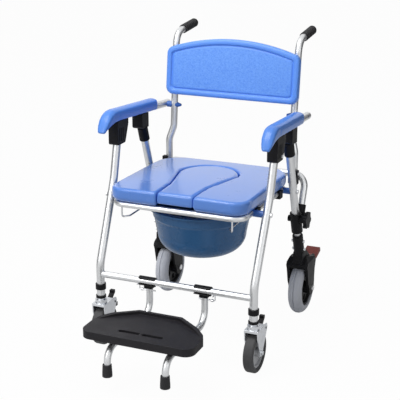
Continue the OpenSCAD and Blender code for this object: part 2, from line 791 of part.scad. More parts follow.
// rear forks: socket on the inner tube, hood over the tyre and two legs to the axle
rfork_in = wheel_w / 2 + 5;
rfork_t = 9;
rped_b = axle_b + 43;
rped_z = wheel_r + 93;
module rear_fork(s) {
  w = rfork_in + rfork_t;
  color("black") side(s) difference() {
    union() {
      rear_axis() translate([0, 0, -130]) cylinder(d = 34, h = 77);
      foot() translate([wheel_half, axle_b, wheel_r]) {
        intersection() {
          translate([-w, 0, 0]) rotate([90, 0, 90]) linear_extrude(2 * w) {
            polygon([[-22, 0], [-38, 26], [-50, 74], [-57, 90], [-44, 117], [-22, 117], [28, 103],
              [37, 86], [27, 60], [22, 0]]);
            circle(r = 24);
          }
          translate([0, 100, 0]) rotate([90, 0, 0]) linear_extrude(200)
            polygon([[-w - 1, -40], [w + 1, -40], [w + 1, 98], [w - 13, 130], [13 - w, 130], [-w - 1, 98]]);
        }
        translate([rear_half - wheel_half - 16, 0, 0]) rotate([90, 0, 90]) linear_extrude(32)
          polygon([[-66, 104], [-64, 140], [-38, 150], [-14, 132], [24, 101], [-50, 90]]);
        for (x = [-1, 1]) translate([x * 24 - 3, 0, 0]) rotate([90, 0, 90]) linear_extrude(6) {
          polygon([[-5, 104], [30, 68], [rped_b - axle_b + 8, rped_z - wheel_r - 6],
            [rped_b - axle_b + 2, rped_z - wheel_r + 9.8]]);
          translate([rped_b - axle_b, rped_z - wheel_r]) circle(r = 10);
        }
      }
    }
    foot() translate([wheel_half, axle_b, wheel_r]) {
      bar_x([0, 0, 0], 2 * rfork_in, 2 * wheel_r + 16);
      translate([-rfork_in, -70, -60]) cube([2 * rfork_in, 140, 120]);
      bar_x([0, 0, 0], 120, 12.1);
      bar_x([0, rped_b - axle_b, rped_z - wheel_r], 90, 7 + 2 * run_gap);
    }
    rear_axis() {
      translate([0, 0, -128]) cylinder(d = inner_d + 0.1, h = 100);
      bar_x([0, 0, -76], 60, 6.4);
      bar_x([0, 0, -108], 60, 6.4);
    }
  }
}

// socket screws and the rear axle
module rear_bolts(s) {
  w = rfork_in + rfork_t;
  color("silver") side(s) {
    rear_axis() for (z = [-76, -108]) {
      bar_x([0, 0, z], 36, 6.2);
      bar_x([19, 0, z], 4, 10);
      bar_x([-19, 0, z], 4, 10);
    }
    foot() {
      bar_x([wheel_half, axle_b, wheel_r], 2 * w, 12);
      bar_x([wheel_half + w + 3, axle_b, wheel_r], 6, 18);
      bar_x([wheel_half - w - 3, axle_b, wheel_r], 6, 18);
    }
  }
}

// rear wheels: spoked hub and a round tyre with a middle groove
rhub_r = wheel_r - 27;
module rear_hub(s) {
  color("dimgray") side(s) foot() translate([wheel_half, axle_b, wheel_r])
    rotate([0, 90, 0]) difference() {
      union() {
        cylinder(r = rhub_r, h = wheel_w - 10, center = true);
        cylinder(r = 20, h = 2 * rfork_in - 1, center = true);
      }
      for (z = [-1, 1]) translate([0, 0, z * (wheel_w / 2 - 3)]) difference() {
        cylinder(r = rhub_r - 7, h = 18, center = true);
        cylinder(r = 20, h = 20, center = true);
      }
      for (a = [0 : 60 : 300]) rotate([0, 0, a]) translate([37, 0, 0])
        cylinder(d = 20, h = 60, center = true);
      cylinder(d = 12 + 2 * run_gap, h = 90, center = true);
    }
}
module rear_tyre(s) {
  w = wheel_w / 2;
  color("darkgray") side(s) foot() translate([wheel_half, axle_b, wheel_r])
    rotate([0, 90, 0]) rotate_extrude($fn = 128) difference() {
      union() {
        translate([rhub_r, -w + 3]) square([8, 2 * w - 6]);
        intersection() {
          translate([wheel_r - w - 1, 0]) circle(r = w + 1);
          translate([rhub_r, -w]) square([60, 2 * w]);
        }
      }
      translate([wheel_r - 2.5, -1.5]) square([5, 3]);
      translate([0, -40]) square([rhub_r + 0.1, 80]);
    }
}

// rear brake pedals: an arm from the pin and a plate that rises to the rear
module rear_pedal(s) {
  color("firebrick") side(s) foot() translate([wheel_half, rped_b, rped_z]) {
    bar_x([0, 0, 0], 40, 12);
    bar_x([0, 0, 0], 58, 7);
    translate([-14, 0, 0]) rotate([90, 0, 90]) linear_extrude(28)
      polygon([[-3, 4.5], [3, 5], [38, -5], [38, -16], [16, -13], [-3, -4.5]]);
    translate([-23, 0, 0]) rotate([90, 0, 90]) linear_extrude(46)
      polygon([[28, -15], [42, -22], [88, -9], [84, 4], [76, 2], [34, -10], [27, -10]]);
  }
}

// footrest saddles that hook on the cross tube from behind
hang_b = 14;
pin_z = cross_z - 34;
module footrest_saddles() {
  color("black") foot() both() translate([foot_half, 0, 0]) difference() {
    union() {
      bar_x([0, 0, cross_z], 52, cross_d + 9);
      translate([-13, 1, cross_z - 25]) cube([26, 26, 22]);
    }
    bar_x([0, 0, cross_z], 60, cross_d + 2 * run_gap);
    translate([-30, -30, cross_z - 9]) cube([60, 27, 18]);
    translate([0, hang_b, cross_z - 60]) cylinder(d = foot_d, h = 60 - 17);
  }
}

// footrest tubes: down, forward below the plate and down to the tips
foot_run_z = plate_bottom - 27;
foot_P = [[foot_half, hang_b, cross_z - 17], [foot_half, hang_b, foot_run_z],
  [foot_half, 4 - foot_front, foot_run_z], [foot_half, -foot_front, 56]];
foot_R = [0, 46, 40, 0];
module footrest_tubes() {
  color("silver") foot() both() difference() {
    path(foot_P, foot_R, foot_d);
    path(foot_P, foot_R, foot_d - 3);
    bar_x([foot_half, hang_b, pin_z], 50, 5 + 2 * run_gap);
  }
}

// rubber tips of the footrest tubes
module foot_tips() {
  v = unit(foot_P[3] - foot_P[2]);
  color("black") foot() both() translate([foot_half, -foot_front, 48])
    difference() {
      union() {
        cylinder(d = tip_d, h = 10);
        translate([0, 0, 10]) cylinder(d1 = tip_d, d2 = tip_d - 3, h = 26);
      }
      translate([-foot_half, foot_front, -48]) path(foot_P, foot_R, foot_d);
    }
}

// footplate: a ribbed tray with finger slots and a heel wall that fades out at the sides
plate_back = 100;
module plate2d(i) {
  f = 30;
  w = plate_half - i;
  polygon([[i / 2 - 68, -plate_back - i], [68 - i / 2, -plate_back - i], [w - 29, -plate_back - 54 - i / 2],
    [w - 8, -plate_back - 74 - i / 3], [w, -plate_back - 92], [w, f - plate_reach],
    [plate_half - f, i - plate_reach], [f - plate_half, i - plate_reach], [-w, f - plate_reach],
    [-w, -plate_back - 92], [8 - w, -plate_back - 74 - i / 3], [29 - w, -plate_back - 54 - i / 2]]);
  for (x = [-1, 1]) translate([x * (plate_half - f), f - plate_reach]) circle(r = f - i);
}
module footplate() {
  rib_z = foot_run_z;
  slot_y = 43 - plate_reach;
  color("black") foot() difference() {
    union() {
      difference() {
        translate([0, 0, plate_bottom]) linear_extrude(plate_t) plate2d(0);
        translate([0, 0, plate_bottom - 1]) linear_extrude(plate_t - 5) plate2d(4);
      }
      intersection() {
        translate([0, 0, plate_z - 2]) linear_extrude(11) difference() {
          plate2d(0);
          plate2d(10);
        }
        translate([-plate_half - 1, 0, 0]) rotate([90, 0, 90]) linear_extrude(2 * plate_half + 2)
          polygon([[1 - plate_back, plate_z - 2], [1 - plate_back, plate_z + 9],
            [-plate_back - 45, plate_z + 9], [-plate_back - 92, plate_z - 2]]);
      }
      for (x = [-1, 1]) translate([x * foot_half - 9, slot_y - 2, rib_z])
        cube([18, plate_reach - 43 - plate_back - 11, plate_z - 3 - rib_z]);
      translate([-80, slot_y - 13, plate_bottom + 2]) cube([160, 26, plate_t - 5]);
    }
    for (x = [-1, 1]) translate([x * 36, slot_y, plate_bottom - 5]) {
      translate([-26, -7, 0]) cube([52, 14, 60]);
      for (k = [-1, 1]) translate([k * 26, 0, 0]) cylinder(d = 14, h = 60);
    }
    both() path(foot_P, foot_R, foot_d + 0.1);
  }
}

// wire lock pins of the footrest
module lock_pin(s) {
  color("silver") side(s) foot() translate([foot_half, hang_b, pin_z]) {
    bar_x([4, 0, 0], 46, 5);
    path([[26, 0, 0], [33, 0, 0], [33, 0, 20], [33, -18, 20]], [0, 4, 4, 0], 3);
    bar_x([24.5, 0, 0], 6, 9);
  }
}

// pail: a bowl with a flat rim
module pail() {
  z1 = rail_z + wire_d / 2 + slide_gap;
  r = pail_r - 17;
  h = pail_h;
  f = 60;
  c = r - 14 - f;
  k = [0 : 9 : 90];
  color("steelblue") foot() translate([0, pail_b, z1]) rotate_extrude($fn = 128)
    polygon(concat(
      [[0, -h]],
      [for (a = k) [c + f * sin(a), f - h - f * cos(a)]],
      [[r - 4, -34], [r, -28], [r, 0], [pail_r, 0], [pail_r, 5.5], [r - 3, 5.5], [r - 3, -27],
        [r - 7, -34]],
      [for (a = k) [c + (f - 3) * cos(a), f - h - (f - 3) * sin(a)]],
      [[0, 3 - h]]));
}

front_legs();
front_cross_tube();
rear_legs();
rear_u_tube();
rear_clamps();
seat_frame();
frame_spacers();
frame_bolts();
back_posts();
backrest_panel();
hand_grips();
leg_collars();
frame_brackets();
pail_rails();
seat_pad();
arm_pivots();
arm_tube(-1);  // arm_tube_l
arm_tube(1);  // arm_tube_r
arm_pad(-1);  // arm_pad_l
arm_pad(1);  // arm_pad_r
latch_housing(-1);  // latch_housing_l
latch_housing(1);  // latch_housing_r
arm_socket(-1);  // arm_socket_l
arm_socket(1);  // arm_socket_r
latch_button(-1);  // latch_button_l
latch_button(1);  // latch_button_r
front_sleeve(-1);  // front_sleeve_l
front_sleeve(1);  // front_sleeve_r
caster_ring(-1);  // caster_ring_l
caster_ring(1);  // caster_ring_r
caster_fork(-1);  // caster_fork_l
caster_fork(1);  // caster_fork_r
caster_pedal(-1);  // caster_pedal_l
caster_pedal(1);  // caster_pedal_r
caster_tyre(-1);  // caster_tyre_l
caster_tyre(1);  // caster_tyre_r
caster_hub(-1);  // caster_hub_l
caster_hub(1);  // caster_hub_r
rear_inner_tube(-1);  // rear_inner_tube_l
rear_inner_tube(1);  // rear_inner_tube_r
rear_fork(-1);  // rear_fork_l
rear_fork(1);  // rear_fork_r
rear_bolts(-1);  // rear_bolts_l
rear_bolts(1);  // rear_bolts_r
rear_tyre(-1);  // rear_tyre_l
rear_tyre(1);  // rear_tyre_r
rear_hub(-1);  // rear_hub_l
rear_hub(1);  // rear_hub_r
rear_pedal(-1);  // rear_pedal_l
rear_pedal(1);  // rear_pedal_r
clamp_knob(-1);  // clamp_knob_l
clamp_knob(1);  // clamp_knob_r
footrest_saddles();
footrest_tubes();
footplate();
foot_tips();
lock_pin(-1);  // lock_pin_l
lock_pin(1);  // lock_pin_r
pail();
seat_insert();
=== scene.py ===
import math

import bmesh
import bpy
import numpy as np
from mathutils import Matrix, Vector


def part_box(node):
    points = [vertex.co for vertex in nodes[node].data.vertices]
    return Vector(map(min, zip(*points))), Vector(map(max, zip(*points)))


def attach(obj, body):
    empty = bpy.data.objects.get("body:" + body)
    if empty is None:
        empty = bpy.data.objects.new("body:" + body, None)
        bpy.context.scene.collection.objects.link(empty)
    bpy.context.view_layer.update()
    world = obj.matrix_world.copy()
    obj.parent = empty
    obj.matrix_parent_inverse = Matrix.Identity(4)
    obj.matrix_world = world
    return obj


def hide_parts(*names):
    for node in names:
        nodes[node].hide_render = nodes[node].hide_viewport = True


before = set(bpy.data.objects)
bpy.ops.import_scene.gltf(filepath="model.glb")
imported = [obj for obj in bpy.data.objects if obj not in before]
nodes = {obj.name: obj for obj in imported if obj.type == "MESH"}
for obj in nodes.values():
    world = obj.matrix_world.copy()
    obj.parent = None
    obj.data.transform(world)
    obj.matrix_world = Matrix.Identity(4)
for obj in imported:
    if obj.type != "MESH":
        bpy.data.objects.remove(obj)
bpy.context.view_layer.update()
scene = bpy.context.scene


# Studio: a pale floor that runs out of sight, soft lamps and dark flags outside the view,
# which give the bright tubes their edges. The camera stands where the photograph was taken.
FLOOR_HALF, FLOOR_DROP = 60, 0.001
FLAG_TALL = 2.6

camera = bpy.data.objects.new("camera", bpy.data.cameras.new("camera"))
scene.collection.objects.link(camera)
camera.location = (1.2193, -2.85235, 1.4500)
camera.rotation_euler = (math.radians(72.12), 0, math.radians(23.08))
camera.data.sensor_width = 36
camera.data.lens = 96.41
camera.data.shift_x = 0.0025
camera.data.shift_y = 0.00185
camera.data.clip_end = 200
scene.camera = camera
scene.view_settings.view_transform = "Standard"


def wire(tree, *links):
    for a, b in links:
        tree.links.new(a, b)


def mix_white(tree, lit, white, out, to_lens, off_gloss):
    """Shows these shares of plain white to the lens and in gloss, and else the lit shader."""
    path = tree.nodes.new("ShaderNodeLightPath")
    share = path.outputs["Is Transmission Ray"]
    for ray, part in (("Is Glossy Ray", off_gloss), ("Is Camera Ray", to_lens)):
        added = tree.nodes.new("ShaderNodeMath")
        added.operation = "MULTIPLY_ADD"
        added.inputs[1].default_value = part
        wire(tree, (path.outputs[ray], added.inputs[0]), (share, added.inputs[2]))
        share = added.outputs[0]
    blend = tree.nodes.new("ShaderNodeMixShader")
    wire(tree, (share, blend.inputs[0]), (lit.outputs[0], blend.inputs[1]),
         (white.outputs[0], blend.inputs[2]), (blend.outputs[0], out.inputs["Surface"]))


def flat_panel(name, corners, paint):
    mesh = bpy.data.meshes.new(name)
    mesh.from_pydata(corners, [], [tuple(range(len(corners)))])
    mesh.materials.append(paint)
    panel = bpy.data.objects.new(name, mesh)
    scene.collection.objects.link(panel)
    return panel


floor_paint = bpy.data.materials.new("floor_paint")
floor_paint.use_nodes = True
tree = floor_paint.node_tree
tree.nodes.clear()
matt = tree.nodes.new("ShaderNodeBsdfDiffuse")
matt.inputs["Color"].default_value = (0.66, 0.66, 0.66, 1)
mix_white(tree, matt, tree.nodes.new("ShaderNodeEmission"), tree.nodes.new("ShaderNodeOutputMaterial"),
          to_lens=0.97, off_gloss=0.45)
flat_panel("floor", [(x * FLOOR_HALF, y * FLOOR_HALF, -FLOOR_DROP)
                     for x, y in ((-1, -1), (1, -1), (1, 1), (-1, 1))], floor_paint)

sky = bpy.data.worlds.new("studio_sky")
scene.world = sky
sky.use_nodes = True
tree = sky.node_tree
tree.nodes.clear()
fill = tree.nodes.new("ShaderNodeBackground")
fill.inputs["Color"].default_value = (1, 1, 1, 1)
fill.inputs["Strength"].default_value = 0.32
white = tree.nodes.new("ShaderNodeBackground")
white.inputs["Color"].default_value = (1, 1, 1, 1)
mix_white(tree, fill, white, tree.nodes.new("ShaderNodeOutputWorld"), to_lens=1.0, off_gloss=1.0)


def soft_box(name, place, aim, width, power):
    lamp = bpy.data.objects.new(name, bpy.data.lights.new(name, "AREA"))
    scene.collection.objects.link(lamp)
    lamp.data.size = width
    lamp.data.energy = power
    lamp.location = place
    lamp.rotation_euler = (Vector(aim) - Vector(place)).to_track_quat("-Z", "Y").to_euler()


soft_box("top_lamp", (-0.7, -0.9, 3.2), (0, 0, 0.6), width=1.6, power=62)
soft_box("key_lamp", (-1.6, -3.2, 2.4), (0, 0.2, 0.7), width=1.3, power=38)
soft_box("side_lamp", (3.2, -1.0, 1.6), (0, 0, 0.5), width=1.2, power=6)

flag_cloth = bpy.data.materials.new("flag_cloth")
flag_cloth.use_nodes = True
weave = flag_cloth.node_tree.nodes["Principled BSDF"]
weave.inputs["Base Color"].default_value = (0.16, 0.16, 0.17, 1)
weave.inputs["Roughness"].default_value = 1.0
for name, turn, far, half in (("flag_left", 196, 2.6, 0.75), ("flag_right", 24, 2.6, 0.95),
                              ("flag_behind", 62, 3.2, 0.95), ("flag_far_left", 160, 3.2, 0.60)):
    a = math.radians(turn)
    mid = Vector((math.cos(a), math.sin(a), 0)) * far
    along = Vector((-math.sin(a), math.cos(a), 0)) * half
    rise = Vector((0, 0, FLAG_TALL))
    flag = flat_panel(name, [mid - along, mid + along, mid + along + rise, mid - along + rise],
                      flag_cloth)
    flag.visible_camera = flag.visible_diffuse = flag.visible_shadow = flag.visible_transmission = False


# Frame tubes: round aluminium tube, bent cold and anodised to a satin grey. Fine drawing lines
# and faint rub marks from handling show in the gloss.
def new_group(name, inputs, outputs):
    group = bpy.data.node_groups.new(name, "ShaderNodeTree")
    for label, value in inputs:
        socket = group.interface.new_socket(label, in_out="INPUT", socket_type="NodeSocketFloat")
        socket.default_value = value
    for label in outputs:
        group.interface.new_socket(label, in_out="OUTPUT", socket_type="NodeSocketFloat")
    return group, group.nodes.new("NodeGroupInput"), group.nodes.new("NodeGroupOutput")


grain, given, made = new_group("moulded_grain", [("Grain", 400.0), ("Marks", 14.0)], ["Height", "Marks"])
where = grain.nodes.new("ShaderNodeTexCoord")
fine = grain.nodes.new("ShaderNodeTexNoise")
fine.inputs["Detail"].default_value = 3
fine.inputs["Roughness"].default_value = 0.6
wide = grain.nodes.new("ShaderNodeTexNoise")
wide.inputs["Detail"].default_value = 5
wide.inputs["Roughness"].default_value = 0.62
contrast = grain.nodes.new("ShaderNodeMapRange")
contrast.inputs["From Min"].default_value = 0.32
contrast.inputs["From Max"].default_value = 0.68
wire(grain, (where.outputs["Object"], fine.inputs["Vector"]),
     (where.outputs["Object"], wide.inputs["Vector"]),
     (given.outputs["Grain"], fine.inputs["Scale"]), (given.outputs["Marks"], wide.inputs["Scale"]),
     (wide.outputs["Fac"], contrast.inputs["Value"]), (fine.outputs["Fac"], made.inputs["Height"]),
     (contrast.outputs["Result"], made.inputs["Marks"]))


def finish_of(name, light, dark, rough, grain_size, depth,
              metal=0.0, marks=14.0, coat=0.0, gloss=0.3, edge=0.0):
    """A finish between two close colours: grain in its height, marks in its gloss, and eased edges."""
    paint = bpy.data.materials.new(name)
    paint.use_nodes = True
    tree = paint.node_tree
    shader = tree.nodes["Principled BSDF"]
    shader.inputs["Metallic"].default_value = metal
    shader.inputs["Coat Weight"].default_value = coat
    shader.inputs["Coat Roughness"].default_value = 0.14
    shader.inputs["Coat IOR"].default_value = 1.35
    shader.inputs["Specular IOR Level"].default_value = gloss
    surface = tree.nodes.new("ShaderNodeGroup")
    surface.node_tree = grain
    surface.inputs["Grain"].default_value = 1.0 / grain_size
    surface.inputs["Marks"].default_value = marks
    colour = tree.nodes.new("ShaderNodeMix")
    colour.data_type = "RGBA"
    colour.inputs["A"].default_value = (*dark, 1)
    colour.inputs["B"].default_value = (*light, 1)
    sheen = tree.nodes.new("ShaderNodeMapRange")
    sheen.inputs["To Min"].default_value, sheen.inputs["To Max"].default_value = rough
    bump = tree.nodes.new("ShaderNodeBump")
    bump.inputs["Strength"].default_value = 0.5
    bump.inputs["Distance"].default_value = depth
    wire(tree, (surface.outputs["Marks"], colour.inputs["Factor"]),
         (surface.outputs["Marks"], sheen.inputs["Value"]),
         (surface.outputs["Height"], bump.inputs["Height"]),
         (colour.outputs["Result"], shader.inputs["Base Color"]),
         (sheen.outputs["Result"], shader.inputs["Roughness"]),
         (bump.outputs["Normal"], shader.inputs["Normal"]))
    if edge:
        eased = tree.nodes.new("ShaderNodeBevel")
        eased.samples = 6
        eased.inputs["Radius"].default_value = edge
        wire(tree, (eased.outputs["Normal"], bump.inputs["Normal"]))
    return paint


def dress(paint, *names):
    for name in names:
        nodes[name].data.materials.clear()
        nodes[name].data.materials.append(paint)


anodised = finish_of("anodised_tube", light=(0.73, 0.74, 0.75), dark=(0.67, 0.68, 0.69),
                     rough=(0.34, 0.42), grain_size=0.004, depth=0.00001, metal=1.0, marks=22.0)
dress(anodised, "front_legs", "front_cross_tube", "rear_legs", "rear_u_tube", "seat_frame", "back_posts",
      "arm_tube_l", "arm_tube_r", "front_sleeve_l", "front_sleeve_r", "rear_inner_tube_l",
      "rear_inner_tube_r", "footrest_tubes")


# Fasteners: zinc-plated bolts, axles and press buttons, and the plated steel wire
# that the pail rails and the footrest's lock pins are bent from.
zinc = finish_of("zinc_plate", light=(0.80, 0.81, 0.82), dark=(0.68, 0.69, 0.71), rough=(0.26, 0.36),
                 grain_size=0.002, depth=0.00001, metal=1.0, marks=60.0, edge=0.0006)
dress(zinc, "frame_bolts", "rear_bolts_l", "rear_bolts_r", "latch_button_l", "latch_button_r")
plated = finish_of("plated_wire", light=(0.74, 0.75, 0.77), dark=(0.62, 0.63, 0.65), rough=(0.18, 0.28),
                   grain_size=0.002, depth=0.00001, metal=1.0, marks=50.0)
dress(plated, "pail_rails", "lock_pin_l", "lock_pin_r")


# Black fittings: glass-filled nylon mouldings with a fine spark-eroded skin. They are the clamps, knobs,
# collars, brackets, armrest housings and sockets, caster pedals, footrest saddles and rear forks.
nylon = finish_of("black_nylon", light=(0.010, 0.010, 0.012), dark=(0.006, 0.006, 0.007),
                  rough=(0.40, 0.54), grain_size=0.0012, depth=0.00008, marks=30.0,
                  gloss=0.14, edge=0.0016)
dress(nylon, "rear_clamps", "leg_collars", "frame_brackets", "clamp_knob_l", "clamp_knob_r",
      "latch_housing_l", "latch_housing_r", "arm_socket_l", "arm_socket_r", "caster_ring_l",
      "caster_ring_r", "caster_pedal_l", "caster_pedal_r", "rear_fork_l", "rear_fork_r",
      "footrest_saddles")


# Blue spacers and bushes: smooth injection mouldings. The spacers are bolted between the seat frame
# and the legs, and the bushes carry the armrests on the back posts.
bush = finish_of("blue_bush", light=(0.060, 0.165, 0.50), dark=(0.045, 0.130, 0.43), rough=(0.26, 0.36),
                 grain_size=0.002, depth=0.00004, edge=0.0010)
dress(bush, "frame_spacers", "arm_pivots")


# Seat: polyurethane foam moulded with its own glossy skin. It crowns a little, rolls over at the
# edges, and has a keyhole slot that a loose insert fills.
MERGE = 2e-5
SEAT_TILT = math.radians(1.5)
CROWN_RADIUS = 7.0
CROWN_NEAR, CROWN_EASE = 0.0016, 0.0010


def as_piece(name, mesh):
    mesh.name = name
    piece = bpy.data.objects.new(name, mesh)
    scene.collection.objects.link(piece)
    return piece


def evaluated_mesh(holder):
    """The mesh that an object's modifiers give; the object itself is removed."""
    mesh = bpy.data.meshes.new_from_object(holder.evaluated_get(bpy.context.evaluated_depsgraph_get()))
    bpy.data.objects.remove(holder)
    return mesh


def foam_form(node, name, voxel, passes):
    """The solid's form with rolled edges: its mesh, made anew in fine voxels and relaxed."""
    mesh = nodes[node].data.copy()
    work = bmesh.new()
    work.from_mesh(mesh)
    bmesh.ops.remove_doubles(work, verts=work.verts, dist=MERGE)
    work.to_mesh(mesh)
    work.free()
    mesh.materials.clear()
    rough = as_piece(name + "_rough", mesh)
    remesh = rough.modifiers.new("remesh", "REMESH")
    remesh.mode = "VOXEL"
    remesh.voxel_size = voxel
    relax = rough.modifiers.new("relax", "SMOOTH")
    relax.factor = 0.5
    relax.iterations = passes
    shaped = evaluated_mesh(rough)
    shaped.shade_smooth()
    return as_piece(name, shaped)


seat_up = np.array((0, math.sin(SEAT_TILT), math.cos(SEAT_TILT)))
seat_back = np.array((0, math.cos(SEAT_TILT), -math.sin(SEAT_TILT)))
solid = np.array([v.co for name in ("seat_pad", "seat_insert") for v in nodes[name].data.vertices])
crown_top = (solid @ seat_up).max()
crown_mid = ((solid @ seat_back).min() + (solid @ seat_back).max()) / 2


def draw_to_crown(mesh):
    """Lifts the points that lie just under the seat's crowned top onto it."""
    points = np.array([v.co for v in mesh.vertices])
    reach = points[:, 0] ** 2 + (points @ seat_back - crown_mid) ** 2
    gap = np.maximum(crown_top - reach / (2 * CROWN_RADIUS) - points @ seat_up, 0)
    near = np.clip((CROWN_NEAR - gap) / CROWN_EASE, 0, 1)
    points += np.outer(gap * near, seat_up)
    mesh.vertices.foreach_set("co", points.ravel())
    mesh.update()


seat_skin = finish_of("seat_skin", light=(0.108, 0.262, 0.730), dark=(0.098, 0.240, 0.690),
                      rough=(0.26, 0.36), grain_size=0.0016, depth=0.00006, marks=9.0,
                      coat=1.0, gloss=0.2)
for node, body in (("seat_pad", "frame"), ("seat_insert", "seat_insert")):
    pad = foam_form(node, node + "_foam", voxel=0.0028, passes=36)
    draw_to_crown(pad.data)
    pad.data.materials.append(seat_skin)
    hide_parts(node)
    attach(pad, body)


# Back board: a hollow blow-moulded board, screwed to the posts. Its rim is rolled over, with a groove
# between it and the pebbled panel. It leans as the posts do, and takes its sizes from its node.
POST_BACK, POST_RISE = 0.034, 0.303
BOARD_CORNER, BOARD_RISE = 0.024, 0.040
CORNER_SHARE = 0.6
CORNER_STEPS, CROWN_STEPS = 8, 48

post_lean = math.atan2(POST_BACK, POST_RISE)
board_up = np.array((0, math.sin(post_lean), math.cos(post_lean)))
board_out = np.array((0, -math.cos(post_lean), math.sin(post_lean)))
solid = np.array([v.co for v in nodes["backrest_panel"].data.vertices])
board_half = solid[:, 0].max()
board_foot, board_top = (solid @ board_up).min(), (solid @ board_up).max()
board_back, board_face = (solid @ board_out).min(), (solid @ board_out).max()
tall, thick = board_top - board_foot, board_face - board_back


def board_at(x, up, out):
    return Vector((x, 0, 0)) + Vector(board_up * (board_foot + up) + board_out * (board_back + out))


def arc(cx, cy, r, start, end, steps):
    turns = [math.radians(start + (end - start) * k / steps) for k in range(steps + 1)]
    return [(cx + r * math.cos(a), cy + r * math.sin(a)) for a in turns]


def board_outline(inset):
    """The arched outline, drawn in by inset, as one loop."""
    c = BOARD_CORNER - CORNER_SHARE * inset
    w = board_half - inset - c
    r = (board_half ** 2 + BOARD_RISE ** 2) / (2 * BOARD_RISE)
    mid = tall - r
    shoulder = mid + math.sqrt((r - inset - c) ** 2 - w ** 2)
    lean = math.degrees(math.atan2(shoulder - mid, w))
    right = arc(w, inset + c, c, -90, 0, CORNER_STEPS) + arc(w, shoulder, c, 0, lean, CORNER_STEPS)
    crown = arc(0, mid, r - inset, lean, 180 - lean, CROWN_STEPS)[1:-1]
    left = [(-x, y) for x, y in reversed(right)]
    return right + crown + left


# The edge's section: how far in from the outline, and how high over the back or deep under the face.
back_roll = [(0.0060, 0.0), (0.0030, 0.0006), (0.0010, 0.0022), (0.0, 0.0050)]
rim_roll = [(0.0, 0.0075), (0.0008, 0.0040), (0.0026, 0.0016), (0.0056, 0.0003), (0.0090, 0.0)]
groove = [(0.0150, 0.0), (0.0162, 0.0006), (0.0174, 0.0026), (0.0186, 0.0044), (0.0200, 0.0050),
          (0.0214, 0.0044), (0.0226, 0.0030), (0.0238, 0.0024), (0.0265, 0.0022)]
profile = back_roll + [(inset, thick - deep) for inset, deep in rim_roll + groove]
board = bmesh.new()
loops = [[board.verts.new(board_at(x, y, out)) for x, y in board_outline(inset)]
         for inset, out in profile]
for low, high in zip(loops, loops[1:]):
    for k in range(len(low)):
        n = (k + 1) % len(low)
        board.faces.new((low[k], low[n], high[n], high[k]))
board.faces.new(reversed(loops[0]))
board.faces.new(loops[-1])
bmesh.ops.recalc_face_normals(board, faces=board.faces)
mesh = bpy.data.meshes.new("back_board")
board.to_mesh(mesh)
board.free()
mesh.shade_smooth()
back_board = as_piece("back_board", mesh)
rim_skin = finish_of("board_rim", light=(0.130, 0.335, 0.93), dark=(0.116, 0.305, 0.88),
                     rough=(0.30, 0.40), grain_size=0.0016, depth=0.00010, marks=8.0, gloss=0.4)
# The panel's colour is speckled lighter and darker at the pebbles' scale. These are painted glints
# that stand in for light catching the pebbles. The pebbles' relief itself is in the bump.
pebbled_glint_paint = finish_of("pebbled_board_painted_glints", light=(0.178, 0.410, 0.97), dark=(0.104, 0.290, 0.88),
                    rough=(0.36, 0.46), grain_size=0.0040, depth=0.0014, marks=170.0, gloss=0.4)
mesh.materials.append(rim_skin)
mesh.materials.append(pebbled_glint_paint)
mesh.polygons[-1].material_index = 1
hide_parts("backrest_panel")
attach(back_board, "frame")


# Hand grips and foot tips: black moulded rubber, pushed over the open ends of the back posts
# and of the footrest's tubes, where friction holds them.
rubber = finish_of("black_rubber", light=(0.022, 0.022, 0.024), dark=(0.014, 0.014, 0.016),
                   rough=(0.50, 0.66), grain_size=0.0012, depth=0.00010, marks=40.0, edge=0.0015)
dress(rubber, "hand_grips", "foot_tips")


# Armrest pads: foam moulded round the armrest tubes, with a satin skin of its own. The edges
# are rolled over, and the front ends dip in a rounded nose.
arm_skin = finish_of("arm_skin", light=(0.088, 0.258, 0.770), dark=(0.078, 0.234, 0.72),
                     rough=(0.34, 0.44), grain_size=0.0016, depth=0.00010, marks=12.0, coat=0.4)
for k in "lr":
    pad = foam_form("arm_pad_" + k, "arm_foam_" + k, voxel=0.0022, passes=14)
    pad.data.materials.append(arm_skin)
    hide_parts("arm_pad_" + k)
    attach(pad, "armrest_" + k)


# Front casters: forks pressed from steel sheet and plated with bright zinc, grey nylon hubs,
# and dark rubber tyres moulded onto them.
fork_zinc = finish_of("fork_zinc", light=(0.74, 0.76, 0.79), dark=(0.62, 0.64, 0.67), rough=(0.30, 0.42),
                      grain_size=0.003, depth=0.00001, metal=1.0, marks=45.0, edge=0.0012)
dress(fork_zinc, "caster_fork_l", "caster_fork_r")
hub_grey = finish_of("hub_grey", light=(0.54, 0.55, 0.57), dark=(0.46, 0.47, 0.49), rough=(0.35, 0.50),
                     grain_size=0.0014, depth=0.00006, marks=30.0, edge=0.0010)
dress(hub_grey, "caster_hub_l", "caster_hub_r")
dark_tyre = finish_of("dark_tyre", light=(0.085, 0.085, 0.088), dark=(0.060, 0.060, 0.063),
                      rough=(0.55, 0.75), grain_size=0.0012, depth=0.00020, marks=40.0)
dress(dark_tyre, "caster_tyre_l", "caster_tyre_r")


# Rear wheels: solid grey tyres on black spoked hubs, which turn on bolts in the forks.
# The dark red brake pedals are moulded, and pinned to the forks.
grey_tyre = finish_of("grey_tyre", light=(0.60, 0.62, 0.68), dark=(0.52, 0.54, 0.59), rough=(0.50, 0.68),
                      grain_size=0.0014, depth=0.00016, marks=24.0)
dress(grey_tyre, "rear_tyre_l", "rear_tyre_r")
hub_black = finish_of("hub_black", light=(0.012, 0.012, 0.014), dark=(0.008, 0.008, 0.010),
                      rough=(0.40, 0.55), grain_size=0.0012, depth=0.00008, marks=30.0,
                      gloss=0.2, edge=0.0012)
dress(hub_black, "rear_hub_l", "rear_hub_r")
pedal_red = finish_of("pedal_red", light=(0.27, 0.050, 0.038), dark=(0.20, 0.035, 0.028),
                      rough=(0.42, 0.56), grain_size=0.0012, depth=0.00008, marks=40.0, edge=0.0016)
dress(pedal_red, "rear_pedal_l", "rear_pedal_r")


